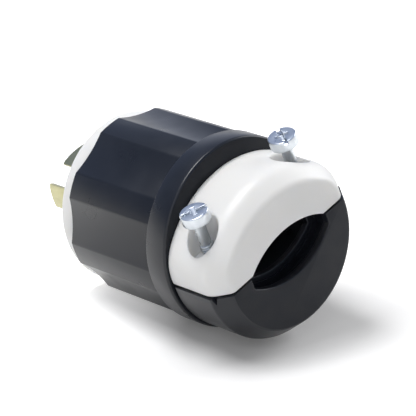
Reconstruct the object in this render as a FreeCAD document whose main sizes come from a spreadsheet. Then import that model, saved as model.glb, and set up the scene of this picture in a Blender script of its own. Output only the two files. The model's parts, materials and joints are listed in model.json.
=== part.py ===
import FreeCAD, Part
import math
import os
import re

import Sketcher

# A locking power plug, in millimetres. The plug lies on its side. Its axis runs along Y and the blades
# point to +Y. The origin is the centre of the flat front face that meets the outlet.
#
# Every piece is drawn in the plug's own upright frame. There X runs across the cord clamp, Y points out
# of the clamp jaw and Z runs along the plug's axis, from the blades towards the cord, with zero at the
# rear face of the collar. One turn and one shift then lay the whole plug on its side.

Vector = FreeCAD.Vector
Rotation = FreeCAD.Rotation
Placement = FreeCAD.Placement

SIZES = [
    ("collar_radius", 28.5, "round collar at the rear of the grip"),
    ("collar_length", 8.0, "length of the collar"),
    ("collar_edge", 0.8, "rounding of the collar's rear edge"),
    ("skirt_reach", 43.9, "rear face of the collar to the front edge of the grip"),
    ("skirt_edge", 0.5, "rounding of the grip's front edge"),
    ("skirt_wall", 1.8, "thinnest wall of the grip, under a finger flute"),
    ("ridge_step", 0.6, "step from the collar down to the grip's ridges"),
    ("flute_count", 8, "finger flutes round the grip"),
    ("flute_depth", 1.6, "finger flute below the ridges"),
    ("flute_span", 29.0, "angle that a finger flute takes up, in degrees"),
    ("rear_wall", 3.0, "wall between the wiring chamber and the clamp"),
    ("clamp_step", 0.9, "step from the collar down to the lower clamp half"),
    ("clamp_length", 21.5, "length of the cord clamp"),
    ("clamp_cone", 5.6, "length of the cone at the clamp's end"),
    ("clamp_taper", 4.0, "how far the cone narrows the lower clamp half"),
    ("seam_width", 0.6, "seam groove between the collar and the lower clamp half"),
    ("seam_depth", 0.7, "seam groove between the collar and the lower clamp half"),
    ("parting_height", 1.1, "top of the lower clamp half, above the axis"),
    ("parting_gap", 0.6, "air left between the two clamp halves"),
    ("pry_notch", 2.0, "width and depth of the notches that let a blade pry the jaw off"),
    ("pry_notch_reach", 1.6, "notch into the lower clamp half, from its outside"),
    ("mouth_half_width", 15.8, "half width of the cord opening"),
    ("mouth_side_depth", 3.4, "straight side of the lower half of the opening"),
    ("mouth_lower_bow", 23.5, "radius of the bottom of the opening"),
    ("mouth_upper_bow", 25.0, "radius of the top of the opening"),
    ("mouth_length", 6.6, "length of the wide mouth of the opening"),
    ("throat_half_width", 13.4, "half width of the opening beside the screws"),
    ("throat_upper_bow", 18.6, "radius of the top of the opening beside the screws"),
    ("lip_length", 2.6, "length of each gripping rib"),
    ("groove_length", 3.4, "length of the groove between the ribs"),
    ("groove_depth", 1.8, "depth of the grooves that leave the ribs standing"),
    ("jaw_step", 0.4, "step from the lower clamp half in to the jaw's flanks"),
    ("jaw_flank", 1.37, "upright flank of the jaw, from its base to its shoulder"),
    ("jaw_flare", 5.8, "radius of the jaw's broad top, beyond half of its width"),
    ("jaw_shoulder_bow", 14.0, "radius of the jaw's shoulders"),
    ("jaw_inset", 4.2, "how far the jaw's end face is drawn in"),
    ("jaw_bend", 4.0, "rounding where the jaw starts to draw in"),
    ("jaw_brow", 2.4, "rounding round the jaw's end face"),
    ("jaw_gap", 0.2, "gap between the jaw and the collar's rear face"),
    ("screw_spacing", 36.8, "distance between the two clamp screws"),
    ("screw_place", 10.6, "clamp screws behind the collar's rear face"),
    ("screw_backout", 12.9, "how far the clamp screws stand backed out"),
    ("screw_head_radius", 4.2, "head of a clamp screw"),
    ("screw_head_height", 3.5, "head of a clamp screw"),
    ("screw_neck_radius", 1.75, "plain neck of a clamp screw"),
    ("screw_neck_length", 7.3, "plain neck of a clamp screw"),
    ("screw_radius", 2.08, "thread of a clamp screw"),
    ("screw_length", 28.6, "clamp screw below its head"),
    ("head_round", 0.4, "rounding of the screw heads' top edge"),
    ("slot_width", 1.2, "slot in the screw heads"),
    ("slot_depth", 1.0, "slot in the screw heads"),
    ("cross_reach", 2.2, "half length of the cross recess"),
    ("cross_depth", 1.6, "depth of the cross recess"),
    ("pocket_radius", 5.25, "screw pocket in the jaw"),
    ("pocket_floor", 8.0, "floor of the screw pockets above the axis"),
    ("head_seat_gap", 0.1, "air left under a screw head when it is run down"),
    ("hole_clearance", 0.25, "play round a screw in a plain hole"),
    ("thread_clearance", 0.05, "play between a screw and its thread"),
    ("nut_width", 8.0, "square nut"),
    ("nut_height", 3.3, "square nut"),
    ("nut_cover", 0.4, "nut below the parting plane"),
    ("nut_play", 0.1, "play round a nut in its trap"),
    ("rim_step", 1.9, "step from the grip's ridges down to the rim of the front face"),
    ("rim_edge", 1.0, "rounding of the rim's front edge"),
    ("rim_length", 5.5, "front face in front of the grip"),
    ("spigot_length", 6.9, "part of the front face inside the grip"),
    ("spigot_play", 0.1, "play between the inner pieces and the grip"),
    ("carrier_length", 13.0, "terminal carrier"),
    ("well_width", 13.4, "terminal well"),
    ("well_depth", 9.0, "terminal well, from the carrier's rear"),
    ("well_floor", 12.3, "inner wall of a terminal well, from the axis"),
    ("blade_radius", 15.2, "outside of the blades, from the axis"),
    ("blade_thickness", 1.5, "thickness of a blade"),
    ("blade_span", 44.0, "angle that a phase blade takes up, in degrees"),
    ("blade_reach", 15.6, "phase blade in front of the front face"),
    ("ground_span", 27.0, "angle that the ground blade takes up, in degrees"),
    ("ground_reach", 19.0, "ground blade in front of the front face"),
    ("ground_angle", 160.0, "place of the ground blade round the axis, in degrees"),
    ("phase_offset", 61.5, "phase blades on each side of the ground blade, in degrees"),
    ("blade_slope", 2.8, "how far a blade's tip slopes back"),
    ("blade_flat", 1.0, "end of a blade's tip that doesn't slope"),
    ("blade_play", 0.1, "play between a blade's faces and its slots"),
    ("blade_side_play", 1.0, "play beside a blade in its slots, in degrees"),
    ("notch_reach", 5.0, "locking notch in a blade, along the plug"),
    ("notch_depth", 2.6, "locking notch in a blade, into its width"),
    ("notch_start", 1.0, "locking notch in front of the front face"),
    ("plate_width", 8.0, "terminal clamp plate"),
    ("plate_thickness", 1.4, "terminal clamp plate"),
    ("plate_gap", 0.3, "gap between a blade and its clamp plate"),
    ("terminal_radius", 1.9, "terminal screw"),
    ("terminal_head_radius", 3.4, "head of a terminal screw"),
    ("terminal_head_height", 2.2, "head of a terminal screw"),
    ("terminal_place", 4.6, "terminal screw in front of the carrier's rear"),
    ("terminal_tip", 0.8, "terminal screw past its blade"),
    ("assembly_inset", 4.3, "assembly screws inside the grip's bore"),
    ("assembly_offset", 120.0, "assembly screws on each side of the ground blade, in degrees"),
    ("assembly_radius", 1.9, "assembly screw"),
    ("assembly_head_radius", 3.4, "head of an assembly screw"),
    ("assembly_head_height", 2.2, "head of an assembly screw"),
    ("assembly_sink", 0.3, "head of an assembly screw below the front face"),
    ("assembly_bite", 12.0, "assembly screw inside its pillar"),
    ("tip_room", 1.0, "air past the tip of an assembly screw"),
    ("pillar_radius", 4.6, "pillar that takes an assembly screw"),
    ("lay_angle", 22.5, "turn that lays the plug on its side, in degrees"),
    ("overcut", 2.0, "how far a cutter reaches past the piece that it cuts"),
]

# Sizes and places that follow from the sheet, each written as a rule on its names.

RULES = {
    "ridge_radius": "collar_radius - ridge_step",
    "flute_radius": "ridge_radius - flute_depth",
    "skirt_bore": "flute_radius - skirt_wall",
    "inner_radius": "skirt_bore - spigot_play",
    "rim_radius": "ridge_radius - rim_step",
    "clamp_radius": "collar_radius - clamp_step",
    "clamp_end_radius": "clamp_radius - clamp_taper",
    "cone_start": "clamp_length - clamp_cone",
    "clamp_side": "screw_spacing / 2",
    "clamp_hole": "screw_radius + hole_clearance",
    "trough_edge": "parting_height - mouth_side_depth",
    "outer_groove": "clamp_length - lip_length - groove_length",
    "inner_groove_end": "outer_groove - lip_length",
    "jaw_half_width": "clamp_radius - jaw_step",
    "jaw_base": "parting_height + parting_gap",
    "jaw_shoulder_up": "jaw_base + jaw_flank",
    "jaw_shoulder_side": "jaw_half_width - jaw_shoulder_bow",
    "jaw_crown_bow": "jaw_half_width + jaw_flare",
    "jaw_crown_climb": "sqrt((jaw_crown_bow - jaw_shoulder_bow)^2 - jaw_shoulder_side^2)",
    "jaw_crown_middle": "jaw_shoulder_up - jaw_crown_climb",
    "jaw_crown_height": "jaw_crown_middle + jaw_crown_bow",
    "front_place": "-skirt_reach - rim_length",
    "spigot_end": "spigot_length - skirt_reach",
    "carrier_end": "spigot_end + carrier_length",
    "assembly_ring": "skirt_bore - assembly_inset",
    "assembly_length": "carrier_end + assembly_bite - front_place - assembly_head_height - assembly_sink",
    "blade_inside": "blade_radius - blade_thickness",
    "terminal_height": "carrier_end - terminal_place",
    "lower_assembly_angle": "ground_angle + assembly_offset",
    "upper_assembly_angle": "ground_angle - assembly_offset",
}

TINY = 0.001
SIZE_NAMES = {name for name, amount, meaning in SIZES}
ASSEMBLY_ANGLES = ("lower_assembly_angle", "upper_assembly_angle")

# Each blade's name, its place round the axis, its width as an angle, its reach in front of the face and
# the side on which its tip reaches furthest.

BLADES = [
    ("phase", "_a", "ground_angle - phase_offset", "blade_span", "blade_reach", ""),
    ("phase", "_b", "ground_angle + phase_offset", "blade_span", "blade_reach", "-"),
    ("phase", "_c", "ground_angle + 180", "blade_span", "blade_reach", ""),
    ("ground", "", "ground_angle", "ground_span", "ground_reach", "-"),
]

doc = FreeCAD.newDocument("locking_plug")
sheet = doc.addObject("Spreadsheet::Sheet", "Sizes")
sub_parts = []


def fill_sheet():
    """Write each size, its name and what it means in one row of the sheet."""
    for row, (name, amount, meaning) in enumerate(SIZES, start=1):
        sheet.set("A" + str(row), name)
        sheet.set("B" + str(row), str(amount))
        sheet.set("C" + str(row), meaning)
        sheet.setAlias("B" + str(row), name)
    doc.recompute()


def written_out(rule, prefix):
    """Write a rule out until it holds only names of the sheet, each with a prefix."""
    def swap(found):
        word = found[0]
        if word in RULES:
            return "(" + written_out(RULES[word], prefix) + ")"
        return prefix + word if word in SIZE_NAMES else word
    return re.sub(r"[A-Za-z_]\w*", swap, rule)


def linked(rule):
    """Turn a rule into an expression that reads the sheet from another object."""
    return written_out(rule, "Sizes.")


def number(rule):
    """Work out what a rule gives with the sheet's present sizes."""
    return float(sheet.evalExpression(written_out(rule, "")))


def new_body(label):
    """Start a sub-part with its own name."""
    body = doc.addObject("PartDesign::Body", label)
    body.Label = label
    sub_parts.append(body)
    return body


def new_sketch(body, name, plane, offset="0"):
    """Start a sketch on one of the body's origin planes, shifted along the plane's normal."""
    sketch = body.newObject("Sketcher::SketchObject", name)
    support = [item for item in body.Origin.OriginFeatures if item.Role == plane][0]
    sketch.AttachmentSupport = [(support, "")]
    sketch.MapMode = "FlatFace"
    sketch.setExpression("AttachmentOffset.Base.z", linked(offset))
    return sketch


def hold(sketch, kind, parts, rule):
    """Add one dimension to a sketch and bind it to the sheet."""
    index = sketch.addConstraint(Sketcher.Constraint(kind, *parts, number(rule)))
    sketch.setExpression("Constraints[%d]" % index, linked(rule))


def add_circle(sketch, across, up, radius):
    """Draw a circle that is held by its centre and radius."""
    centre = Vector(number(across), number(up), 0)
    geometry = sketch.addGeometry(Part.Circle(centre, Vector(0, 0, 1), number(radius)))
    hold(sketch, "DistanceX", (-1, 1, geometry, 3), across)
    hold(sketch, "DistanceY", (-1, 1, geometry, 3), up)
    hold(sketch, "Radius", (geometry,), radius)


def add_outline(sketch, corners):
    """Draw a closed outline through corners (across, up) or (across, up, bow).

    A bow makes the edge that leaves the corner an arc of that radius. Its centre lies to the left of the
    way round where the bow is positive, and to the right where it starts with a minus sign.
    """
    places = [Vector(number(corner[0]), number(corner[1]), 0) for corner in corners]
    edges = []
    for index, corner in enumerate(corners):
        first = places[index]
        last = places[(index + 1) % len(corners)]
        if len(corner) == 2:
            edges.append((sketch.addGeometry(Part.LineSegment(first, last)), 1, 2))
            continue
        turns_left = not corner[2].startswith("-")
        bow_rule = corner[2].lstrip("-")
        bow = number(bow_rule)
        half = (last - first) * 0.5
        left = Vector(-half.y, half.x, 0).normalize()
        reach = math.sqrt(bow ** 2 - half.Length ** 2)
        centre = first + half + left * (reach if turns_left else -reach)
        start, end = (first, last) if turns_left else (last, first)
        angles = [math.atan2(place.y - centre.y, place.x - centre.x) for place in (start, end)]
        arc = Part.ArcOfCircle(Part.Circle(centre, Vector(0, 0, 1), bow), *angles)
        geometry = sketch.addGeometry(arc)
        edges.append((geometry, 1, 2) if turns_left else (geometry, 2, 1))
        hold(sketch, "Radius", (geometry,), bow_rule)
    for index, (geometry, start, end) in enumerate(edges):
        following = edges[(index + 1) % len(edges)]
        sketch.addConstraint(Sketcher.Constraint("Coincident", geometry, end, following[0], following[1]))
        hold(sketch, "DistanceX", (-1, 1, geometry, start), corners[index][0])
        hold(sketch, "DistanceY", (-1, 1, geometry, start), corners[index][1])


def add_box_outline(sketch, left, right, low, high):
    """Draw a rectangle."""
    add_outline(sketch, [(left, low), (right, low), (right, high), (left, high)])


def grow(body, kind, name, sketch, length, backwards=False):
    """Pad or pocket a sketch. A pad leaves along the sketch's normal and a pocket against it."""
    feature = body.newObject("PartDesign::" + kind, name)
    feature.Profile = sketch
    feature.setExpression("Length", linked(length))
    feature.Reversed = backwards
    sketch.Visibility = False
    return feature


def turn(body, kind, name, sketch):
    """Revolve or groove a sketch round its upright axis."""
    feature = body.newObject("PartDesign::" + kind, name)
    feature.Profile = sketch
    feature.ReferenceAxis = (sketch, ["V_Axis"])
    feature.Angle = 360
    return feature


def turned_body(label, corners):
    """Make a body from one outline of (radius, height) corners turned about Z."""
    body = new_body(label)
    outline = new_sketch(body, label + "_profile", "XZ_Plane")
    add_outline(outline, corners)
    turn(body, "Revolution", label + "_turned", outline)
    return body


def lay(body, local=Placement()):
    """Lay a piece of the upright plug on its side, with the front face at the origin."""
    on_side = Rotation(Vector(0, 1, 0), -number("lay_angle")) * Rotation(Vector(1, 0, 0), 90)
    front = Vector(0, -number("skirt_reach + rim_length"), 0)
    body.Placement = Placement(front, on_side) * local


def around_axis(angle_rule):
    """Give the turn about the plug's axis that brings a piece from X to its own angle."""
    return Placement(Vector(), Rotation(Vector(0, 0, 1), number(angle_rule)))


def ring_point(ring, angle):
    """Give the rules for a point on a ring about the axis."""
    return "%s * cos(%s)" % (ring, angle), "%s * sin(%s)" % (ring, angle)


def add_opening(sketch, half_width, upper_bow, extra="0"):
    """Draw the cord opening: an arch above the parting plane and a bowed trough below it."""
    add_outline(sketch, [
        (half_width, "parting_height + " + extra, upper_bow),
        ("-" + half_width, "parting_height + " + extra),
        ("-" + half_width, "trough_edge - " + extra, "mouth_lower_bow"),
        (half_width, "trough_edge - " + extra),
    ])


def cut_opening(body, name):
    """Cut the wide mouth of the cord opening and the grooves that leave its gripping ribs."""
    mouth = new_sketch(body, name + "_mouth_outline", "XY_Plane", "clamp_length")
    add_opening(mouth, "mouth_half_width", "mouth_upper_bow")
    grow(body, "Pocket", name + "_mouth", mouth, "mouth_length")
    outer = new_sketch(body, name + "_outer_groove_outline", "XY_Plane", "outer_groove")
    add_opening(outer, "mouth_half_width", "mouth_upper_bow", "groove_depth")
    grow(body, "Pocket", name + "_outer_groove", outer, "groove_length", backwards=True)
    inner = new_sketch(body, name + "_inner_groove_outline", "XY_Plane", "lip_length")
    add_opening(inner, "throat_half_width", "throat_upper_bow", "groove_depth")
    grow(body, "Pocket", name + "_inner_groove", inner, "inner_groove_end - lip_length", backwards=True)


def make_housing():
    """The black grip, collar and lower clamp half, moulded in one piece."""
    body = turned_body("housing", [
        ("skirt_bore", "-skirt_reach"),
        ("ridge_radius - skirt_edge", "-skirt_reach", "skirt_edge"),
        ("ridge_radius", "skirt_edge - skirt_reach"),
        ("ridge_radius", "-collar_length"),
        ("collar_radius", "-collar_length"),
        ("collar_radius", "-collar_edge", "collar_edge"),
        ("collar_radius - collar_edge", "0"),
        ("0", "0"),
        ("0", "-rear_wall"),
        ("skirt_bore", "-rear_wall"),
    ])
    cut_flutes(body)

    clamp = new_sketch(body, "clamp_profile", "XZ_Plane")
    add_outline(clamp, [
        ("0", "0"),
        ("clamp_radius - seam_depth", "0"),
        ("clamp_radius - seam_depth", "seam_width"),
        ("clamp_radius", "seam_width"),
        ("clamp_radius", "cone_start"),
        ("clamp_end_radius", "clamp_length"),
        ("0", "clamp_length"),
    ])
    turn(body, "Revolution", "clamp_turned", clamp)

    parting = new_sketch(body, "parting_outline", "XY_Plane")
    wide = "(collar_radius + overcut)"
    add_box_outline(parting, "-" + wide, wide, "parting_height", wide)
    grow(body, "Pocket", "parting", parting, "clamp_length + overcut", backwards=True)

    throat = new_sketch(body, "throat_outline", "XY_Plane", "-rear_wall - overcut")
    add_opening(throat, "throat_half_width", "throat_upper_bow")
    grow(body, "Pocket", "throat", throat, "clamp_length + rear_wall + 2 * overcut", backwards=True)
    cut_opening(body, "trough")
    cut_clamp_holes(body)
    add_pillars(body)
    lay(body)


def cut_flutes(body):
    """Cut the finger flutes, with a ridge above the middle of the clamp jaw."""
    sketch = new_sketch(body, "flute_outline", "XY_Plane", "-skirt_reach")
    half = "(flute_span / 2)"
    chord = "(ridge_radius * sin(%s))" % half
    rise = "(ridge_radius * cos(%s) - flute_radius)" % half
    bow = "(%s^2 + %s^2) / (2 * %s)" % (chord, rise, rise)
    low = "(180 / flute_count - %s)" % half
    high = "(180 / flute_count + %s)" % half
    add_outline(sketch, [
        ring_point("ridge_radius", low),
        ring_point("(ridge_radius + overcut)", low),
        ring_point("(ridge_radius + overcut)", high),
        (*ring_point("ridge_radius", high), bow),
    ])
    cut = grow(body, "Pocket", "flute", sketch, "skirt_reach - collar_length", backwards=True)
    doc.recompute()
    pattern = body.newObject("PartDesign::PolarPattern", "flutes")
    pattern.Originals = [cut]
    axis = [item for item in body.Origin.OriginFeatures if item.Role == "Z_Axis"][0]
    pattern.Axis = (axis, [""])
    pattern.Angle = 360
    pattern.setExpression("Occurrences", linked("flute_count"))
    body.Tip = pattern


def cut_clamp_holes(body):
    """Cut the screw holes, the nut traps and the pry notches of the lower clamp half."""
    holes = new_sketch(body, "clamp_hole_outline", "XZ_Plane", "-parting_height")
    traps = new_sketch(body, "nut_trap_outline", "XZ_Plane", "-parting_height")
    half = "(nut_width / 2 + nut_play)"
    for side in ("", "-"):
        centre = side + "clamp_side"
        add_circle(holes, centre, "screw_place", "clamp_hole")
        add_box_outline(traps, "%s - %s" % (centre, half), "%s + %s" % (centre, half),
                        "screw_place - " + half, "screw_place + " + half)
    grow(body, "Pocket", "clamp_holes", holes, "clamp_radius + parting_height", backwards=True)
    grow(body, "Pocket", "nut_traps", traps, "nut_cover + nut_height", backwards=True)

    for name, side, backwards in (("left", "-", True), ("right", "", False)):
        notch = new_sketch(body, "pry_notch_outline_" + name, "YZ_Plane", side + "clamp_radius")
        add_outline(notch, [
            ("parting_height", "cone_start"),
            ("parting_height - pry_notch", "cone_start + pry_notch / 2"),
            ("parting_height", "cone_start + pry_notch"),
        ])
        grow(body, "Pocket", "pry_notch_" + name, notch, "pry_notch_reach", backwards)


def add_pillars(body):
    """Add the pillars that the assembly screws bite into."""
    pillars = new_sketch(body, "pillar_outline", "XY_Plane", "-rear_wall")
    threads = new_sketch(body, "pillar_hole_outline", "XY_Plane", "carrier_end")
    for angle in ASSEMBLY_ANGLES:
        across, up = ring_point("assembly_ring", angle)
        add_circle(pillars, across, up, "pillar_radius")
        add_circle(threads, across, up, "assembly_radius + thread_clearance")
    grow(body, "Pad", "pillars", pillars, "-rear_wall - carrier_end", backwards=True)
    grow(body, "Pocket", "pillar_holes", threads, "assembly_bite + tip_room", backwards=True)


def jaw_corners(inset):
    """Give the jaw's outline: upright flanks, rounded shoulders and a broad crown."""
    side = "(jaw_half_width - %s)" % inset
    crown = "(jaw_crown_bow - %s)" % inset
    shoulder = "(jaw_shoulder_bow - %s)" % inset
    ratio = "%s / (jaw_crown_bow - jaw_shoulder_bow)" % crown
    join_across = "(jaw_shoulder_side * %s)" % ratio
    join_up = "(jaw_crown_middle + jaw_crown_climb * %s)" % ratio
    return [
        ("-" + side, "jaw_base"),
        (side, "jaw_base"),
        (side, "jaw_shoulder_up", shoulder),
        (join_across, join_up, crown),
        ("-" + join_across, join_up, shoulder),
        ("-" + side, "jaw_shoulder_up"),
    ]


def make_clamp_jaw():
    """The white upper half of the cord clamp, which two screws pull down on the cord."""
    body = new_body("clamp_jaw")
    base = new_sketch(body, "jaw_outline", "XY_Plane", "jaw_gap")
    add_outline(base, jaw_corners("0"))
    grow(body, "Pad", "jaw_block", base, "cone_start - jaw_gap")

    near = new_sketch(body, "jaw_cone_start", "XY_Plane", "cone_start")
    add_outline(near, jaw_corners("0"))
    far = new_sketch(body, "jaw_cone_end", "XY_Plane", "clamp_length")
    add_outline(far, jaw_corners("jaw_inset"))
    cone = body.newObject("PartDesign::AdditiveLoft", "jaw_cone")
    cone.Profile = near
    cone.Sections = [far]
    cone.Ruled = True
    round_rim(body, "jaw_bend_rounding", "cone_start", "jaw_bend")
    round_rim(body, "jaw_brow_rounding", "clamp_length", "jaw_brow")

    arch = new_sketch(body, "arch_outline", "XY_Plane", "clamp_length")
    add_opening(arch, "throat_half_width", "throat_upper_bow")
    grow(body, "Pocket", "arch", arch, "clamp_length")
    cut_opening(body, "arch")

    pockets = new_sketch(body, "screw_pocket_outline", "XZ_Plane", "-pocket_floor")
    holes = new_sketch(body, "jaw_hole_outline", "XZ_Plane")
    for side in ("", "-"):
        add_circle(pockets, side + "clamp_side", "screw_place", "pocket_radius")
        add_circle(holes, side + "clamp_side", "screw_place", "clamp_hole")
    grow(body, "Pocket", "screw_pockets", pockets, "jaw_crown_height")
    grow(body, "Pocket", "jaw_holes", holes, "jaw_crown_height")
    lay(body)


def round_rim(body, name, height, radius):
    """Round the edges of the jaw's outline at one height, all but the one along its base."""
    doc.recompute()
    block = body.Tip
    edges = []
    for index, edge in enumerate(block.Shape.Edges, start=1):
        box = edge.BoundBox
        in_plane = abs(box.ZMin - number(height)) < TINY and abs(box.ZMax - number(height)) < TINY
        if in_plane and box.YMax - number("jaw_base") > TINY:
            edges.append("Edge%d" % index)
    rounding = body.newObject("PartDesign::Fillet", name)
    rounding.Base = (block, edges)
    rounding.setExpression("Radius", linked(radius))


def make_screw(label, head_radius, head_height, shank_corners, local):
    """A pan head screw with a slot and a cross recess, its head's underside at zero."""
    body = turned_body(label, [
        ("0", head_height),
        ("0", shank_corners[-1][1]),
        *reversed(shank_corners),
        (head_radius, "0"),
        (head_radius, head_height + " - head_round", "head_round"),
        (head_radius + " - head_round", head_height),
    ])
    slot = new_sketch(body, label + "_slot_outline", "XY_Plane", head_height)
    add_box_outline(slot, "-" + head_radius, head_radius, "-slot_width / 2", "slot_width / 2")
    grow(body, "Pocket", label + "_slot", slot, "slot_depth")
    cross = new_sketch(body, label + "_cross_outline", "XY_Plane", head_height)
    add_box_outline(cross, "-slot_width / 2", "slot_width / 2", "-cross_reach", "cross_reach")
    grow(body, "Pocket", label + "_cross", cross, "cross_depth")
    lay(body, local)


def make_clamp_screws():
    """The two screws that pull the jaw down, shown backed out as they are delivered."""
    for name, sign in (("left", -1), ("right", 1)):
        seat = number("pocket_floor + head_seat_gap + screw_backout")
        place = Vector(sign * number("clamp_side"), seat, number("screw_place"))
        make_screw("clamp_screw_" + name, "screw_head_radius", "screw_head_height", [
            ("screw_neck_radius", "0"),
            ("screw_neck_radius", "-screw_neck_length"),
            ("screw_radius", "-screw_neck_length - screw_radius + screw_neck_radius"),
            ("screw_radius", "-screw_length + screw_radius / 2"),
            ("screw_radius / 2", "-screw_length"),
        ], Placement(place, Rotation(Vector(1, 0, 0), -90)))


def make_clamp_nuts():
    """The square nuts in their traps just below the parting plane."""
    for name, sign in (("left", -1), ("right", 1)):
        body = new_body("clamp_nut_" + name)
        outline = new_sketch(body, "nut_outline_" + name, "XY_Plane")
        add_box_outline(outline, "-nut_width / 2", "nut_width / 2", "-nut_width / 2", "nut_width / 2")
        add_circle(outline, "0", "0", "screw_radius + thread_clearance")
        grow(body, "Pad", "nut_block_" + name, outline, "nut_height")
        height = number("parting_height - nut_cover - nut_height")
        place = Vector(sign * number("clamp_side"), height, number("screw_place"))
        lay(body, Placement(place, Rotation(Vector(1, 0, 0), -90)))


def add_sector(sketch, inner, outer, low, high):
    """Draw the curved section of a blade between two radii and two angles."""
    add_outline(sketch, [
        (*ring_point(outer, low), outer),
        ring_point(outer, high),
        (*ring_point(inner, high), "-" + inner),
        ring_point(inner, low),
    ])


def cut_blade_slots(body, start, length):
    """Cut the four blade slots along the axis from a plane towards the cord."""
    inner = "(blade_inside - blade_play)"
    outer = "(blade_radius + blade_play)"
    for kind, key, angle, span, reach, side in BLADES:
        name = "%s_slot_%s%s" % (body.Label, kind, key)
        sketch = new_sketch(body, name + "_outline", "XY_Plane", start)
        half = "(%s / 2 + blade_side_play)" % span
        add_sector(sketch, inner, outer, "(%s - %s)" % (angle, half), "(%s + %s)" % (angle, half))
        grow(body, "Pocket", name, sketch, length, backwards=True)


def make_front_face():
    """The white face that meets the outlet, with a rim in front of the grip and a spigot inside it."""
    body = turned_body("front_face", [
        ("0", "spigot_end"),
        ("0", "front_place"),
        ("rim_radius - rim_edge", "front_place", "rim_edge"),
        ("rim_radius", "front_place + rim_edge"),
        ("rim_radius", "-skirt_reach"),
        ("inner_radius", "-skirt_reach"),
        ("inner_radius", "spigot_end"),
    ])
    cut_blade_slots(body, "front_place", "spigot_end - front_place")
    holes = new_sketch(body, "face_hole_outline", "XY_Plane", "front_place")
    sinks = new_sketch(body, "face_sink_outline", "XY_Plane", "front_place")
    for angle in ASSEMBLY_ANGLES:
        across, up = ring_point("assembly_ring", angle)
        add_circle(holes, across, up, "assembly_radius + hole_clearance")
        add_circle(sinks, across, up, "assembly_head_radius + hole_clearance")
    grow(body, "Pocket", "face_holes", holes, "spigot_end - front_place", backwards=True)
    grow(body, "Pocket", "face_sinks", sinks, "assembly_head_height + assembly_sink", backwards=True)
    lay(body)


def make_terminal_carrier():
    """The insulating block behind the front face, with an open well for each terminal."""
    body = new_body("terminal_carrier")
    disc = new_sketch(body, "carrier_outline", "XY_Plane", "spigot_end")
    add_circle(disc, "0", "0", "inner_radius")
    grow(body, "Pad", "carrier_block", disc, "carrier_length")
    cut_blade_slots(body, "spigot_end", "carrier_length")
    for kind, key, angle, span, reach, side in BLADES:
        name = "well_%s%s" % (kind, key)
        sketch = new_sketch(body, name + "_outline", "XY_Plane", "carrier_end")
        corners = []
        for ring, swing in (("well_floor", -1), ("inner_radius + overcut", -1),
                            ("inner_radius + overcut", 1), ("well_floor", 1)):
            across = "(%s) * cos(%s) - %d * well_width / 2 * sin(%s)" % (ring, angle, swing, angle)
            up = "(%s) * sin(%s) + %d * well_width / 2 * cos(%s)" % (ring, angle, swing, angle)
            corners.append((across, up))
        add_outline(sketch, corners)
        grow(body, "Pocket", name, sketch, "well_depth")
    holes = new_sketch(body, "carrier_hole_outline", "XY_Plane", "spigot_end")
    for angle in ASSEMBLY_ANGLES:
        across, up = ring_point("assembly_ring", angle)
        add_circle(holes, across, up, "assembly_radius + hole_clearance")
    grow(body, "Pocket", "carrier_holes", holes, "carrier_length", backwards=True)
    lay(body)


def make_blade(kind, key, angle, span, reach, side):
    """One curved locking blade, with a sloping tip, a locking notch and a hole for its terminal screw."""
    label = "%s_blade%s" % (kind, key)
    body = new_body(label)
    tip = "(front_place - %s)" % reach
    half = "(%s / 2)" % span
    section = new_sketch(body, label + "_section", "XY_Plane", tip)
    add_sector(section, "blade_inside", "blade_radius", "-" + half, half)
    grow(body, "Pad", label + "_strip", section, "carrier_end - " + tip)

    edge = "(blade_radius * sin(%s))" % half
    slope = new_sketch(body, label + "_tip_outline", "YZ_Plane")
    low_corners = [
        ("-(%s + overcut)" % edge, tip + " - overcut"),
        (edge, tip + " - overcut"),
        (edge + " - blade_flat", tip),
        ("-(%s + overcut)" % edge, tip + " + blade_slope"),
    ]
    corners = [(side + "(%s)" % across, up) for across, up in low_corners]
    add_outline(slope, corners)
    grow(body, "Pocket", label + "_tip", slope, "blade_radius + overcut", backwards=True)

    notch = new_sketch(body, label + "_notch_outline", "YZ_Plane")
    start = "(front_place - notch_start)"
    add_box_outline(notch, "-(%s + overcut)" % edge, "notch_depth - " + edge, start + " - notch_reach", start)
    grow(body, "Pocket", label + "_notch", notch, "blade_radius + overcut", backwards=True)

    hole = new_sketch(body, label + "_hole_outline", "YZ_Plane")
    add_circle(hole, "0", "terminal_height", "terminal_radius + thread_clearance")
    grow(body, "Pocket", label + "_hole", hole, "blade_radius + overcut", backwards=True)
    lay(body, around_axis(angle))


def make_terminal(kind, key, angle):
    """The clamp plate and the screw that hold a wire on the rear end of a blade."""
    label = "%s_plate%s" % (kind, key)
    plate = new_body(label)
    outline = new_sketch(plate, label + "_outline", "YZ_Plane", "blade_radius + plate_gap")
    half = "plate_width / 2"
    add_box_outline(outline, "-" + half, half, "terminal_height - " + half, "terminal_height + " + half)
    add_circle(outline, "0", "terminal_height", "terminal_radius + hole_clearance")
    grow(plate, "Pad", label + "_block", outline, "plate_thickness")
    lay(plate, around_axis(angle))

    seat = Vector(number("blade_radius + plate_gap + plate_thickness"), 0, number("terminal_height"))
    outward = Placement(seat, Rotation(Vector(0, 1, 0), 90))
    tip = "-plate_thickness - plate_gap - blade_thickness - terminal_tip"
    make_screw("%s_terminal_screw%s" % (kind, key), "terminal_head_radius", "terminal_head_height", [
        ("terminal_radius", "0"),
        ("terminal_radius", tip),
    ], around_axis(angle) * outward)


def make_assembly_screws():
    """The two long screws that hold the front face and the carrier in the grip."""
    for name, angle in zip(("lower", "upper"), ASSEMBLY_ANGLES):
        height = number("front_place + assembly_sink + assembly_head_height")
        seat = Vector(number("assembly_ring"), 0, height)
        forward = Placement(seat, Rotation(Vector(1, 0, 0), 180))
        make_screw("assembly_screw_" + name, "assembly_head_radius", "assembly_head_height", [
            ("assembly_radius", "0"),
            ("assembly_radius", "-assembly_length"),
        ], around_axis(angle) * forward)


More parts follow.
